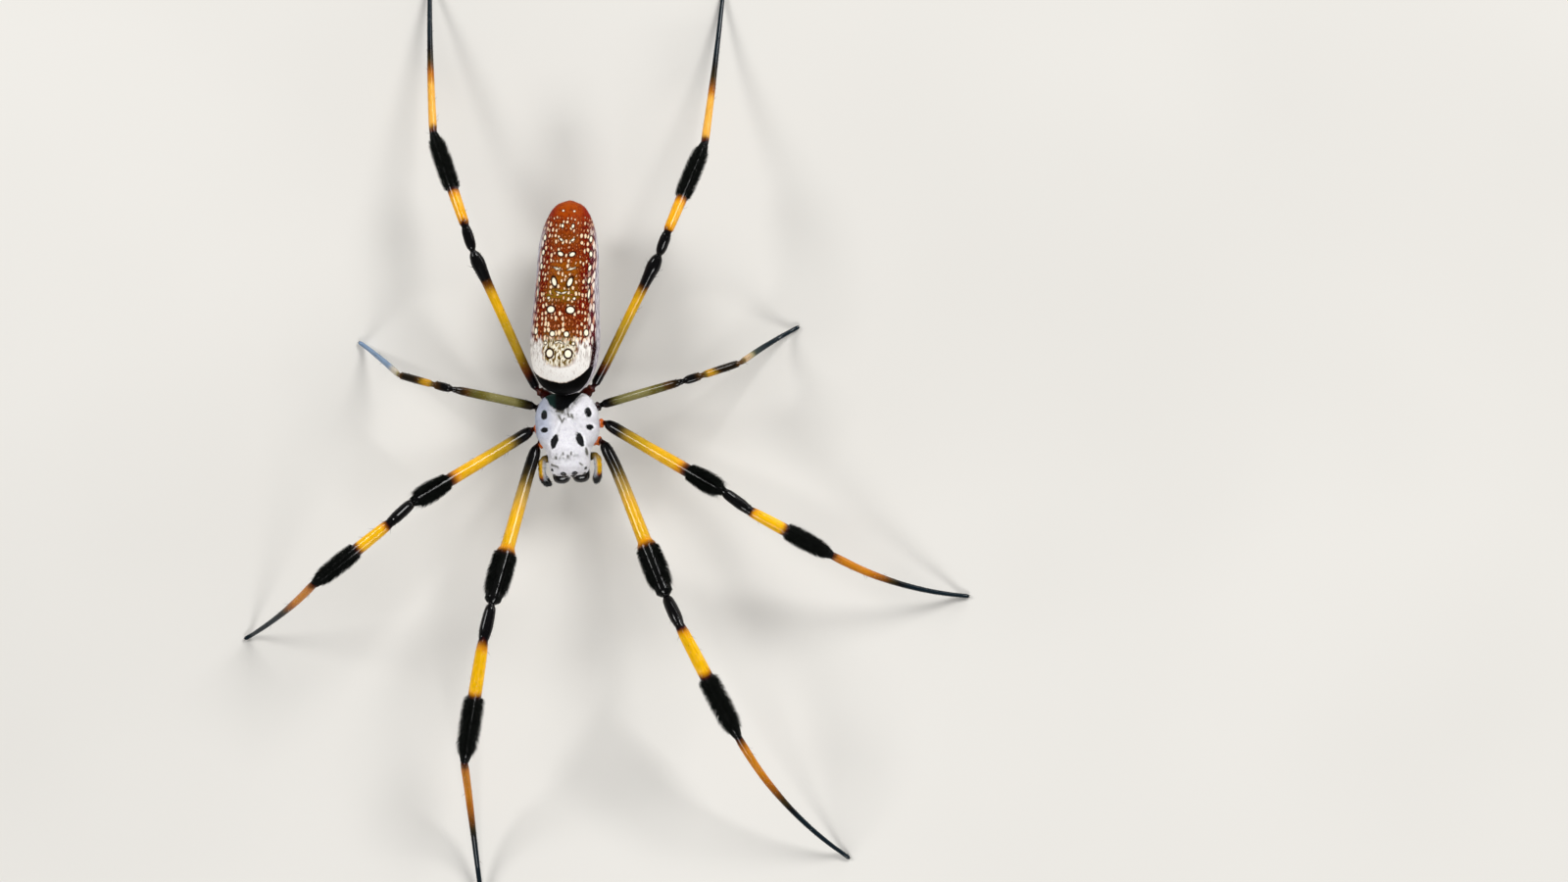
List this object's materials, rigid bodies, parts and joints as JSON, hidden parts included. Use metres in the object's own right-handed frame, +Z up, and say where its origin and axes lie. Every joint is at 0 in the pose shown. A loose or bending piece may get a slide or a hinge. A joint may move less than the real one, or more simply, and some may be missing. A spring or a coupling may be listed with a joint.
{
  "type": "golden silk orb-weaver spider",
  "caption": "Life-size still model of a female golden silk orb-weaver spider, standing with its banded, tufted legs spread.",
  "frame": {"origin": "on the floor, under the middle of the animal's box", "axes": "+Z up, -Y towards the head, +Y towards the tail, +X towards the animal's own left"},
  "size_m": [0.0832, 0.109, 0.0161],
  "materials": {
    "shield_silver": "short silvery down lying flat over dark horn, with bare dark spots",
    "abdomen_skin": "soft satin skin, orange, red and olive with cream spots and a white front band",
    "leg_amber": "glossy translucent amber horn with a thin pale down",
    "leg_black": "glossy black horn",
    "foot_orange": "orange horn that turns black towards the claws",
    "tuft_black": "dense stiff black hairs with a faint green sheen",
    "horn_black": "hard glossy dark brown to black horn",
    "eye_black": "wet black lens"
  },
  "bodies": {
    "root": {"carapace": "shield_silver", "sternum": "horn_black", "labium": "horn_black", "pedicel": "horn_black", "abdomen": "abdomen_skin", "spinnerets": "horn_black", "chelicera_left": "horn_black", "fang_left": "horn_black", "palp_left": "leg_amber", "eye_front_middle_left": "eye_black", "eye_rear_middle_left": "eye_black", "eye_front_side_left": "eye_black", "eye_rear_side_left": "eye_black", "leg_1_left_coxa": "leg_black", "leg_1_left_femur": "leg_amber", "leg_1_left_patella": "leg_black", "leg_1_left_tibia": "leg_amber", "leg_1_left_foot": "foot_orange", "leg_2_left_coxa": "leg_black", "leg_2_left_femur": "leg_amber", "leg_2_left_patella": "leg_black", "leg_2_left_tibia": "leg_amber", "leg_2_left_foot": "foot_orange", "leg_3_left_coxa": "leg_black", "leg_3_left_femur": "leg_amber", "leg_3_left_patella": "leg_black", "leg_3_left_tibia": "leg_amber", "leg_3_left_foot": "foot_orange", "leg_4_left_coxa": "leg_black", "leg_4_left_femur": "leg_amber", "leg_4_left_patella": "leg_black", "leg_4_left_tibia": "leg_amber", "leg_4_left_foot": "foot_orange", "chelicera_right": "horn_black", "fang_right": "horn_black", "palp_right": "leg_amber", "eye_front_middle_right": "eye_black", "eye_rear_middle_right": "eye_black", "eye_front_side_right": "eye_black", "eye_rear_side_right": "eye_black", "leg_1_right_coxa": "leg_black", "leg_1_right_femur": "leg_amber", "leg_1_right_patella": "leg_black", "leg_1_right_tibia": "leg_amber", "leg_1_right_foot": "foot_orange", "leg_2_right_coxa": "leg_black", "leg_2_right_femur": "leg_amber", "leg_2_right_patella": "leg_black", "leg_2_right_tibia": "leg_amber", "leg_2_right_foot": "foot_orange", "leg_3_right_coxa": "leg_black", "leg_3_right_femur": "leg_amber", "leg_3_right_patella": "leg_black", "leg_3_right_tibia": "leg_amber", "leg_3_right_foot": "foot_orange", "leg_4_right_coxa": "leg_black", "leg_4_right_femur": "leg_amber", "leg_4_right_patella": "leg_black", "leg_4_right_tibia": "leg_amber", "leg_4_right_foot": "foot_orange"}
  },
  "joints": []
}
